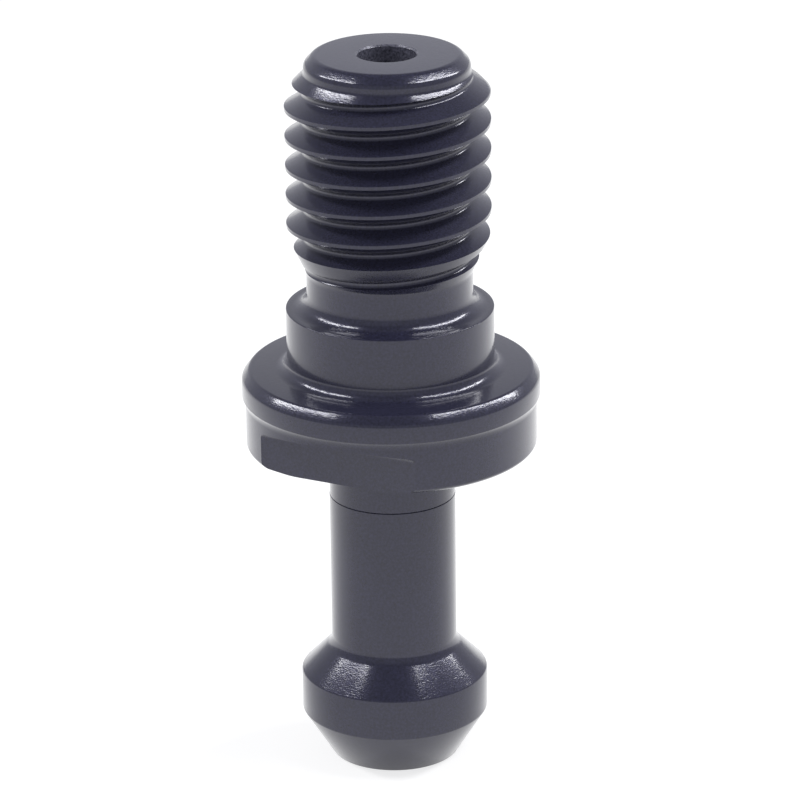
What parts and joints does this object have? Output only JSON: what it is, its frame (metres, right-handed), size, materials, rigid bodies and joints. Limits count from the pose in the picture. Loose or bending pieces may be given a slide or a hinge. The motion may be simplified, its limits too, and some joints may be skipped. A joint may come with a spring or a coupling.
{
  "type": "pull stud",
  "caption": "Turned steel pull stud with a threaded shank, locating pilot, flange with wrench flats, slim neck and shouldered gripping head, and a coolant bore right through it.",
  "frame": {"origin": "centre of the gripping head's flat end face, on the stud's axis", "axes": "+Z along the axis from the head to the threaded shank, with the wrench flats facing -Y and +Y"},
  "size_m": [0.0174, 0.0174, 0.0431],
  "materials": {
    "black_oxide_steel": "black oxide over turned steel, satin, lightly oiled"
  },
  "bodies": {
    "root": {"pull_stud": "black_oxide_steel"}
  },
  "joints": []
}
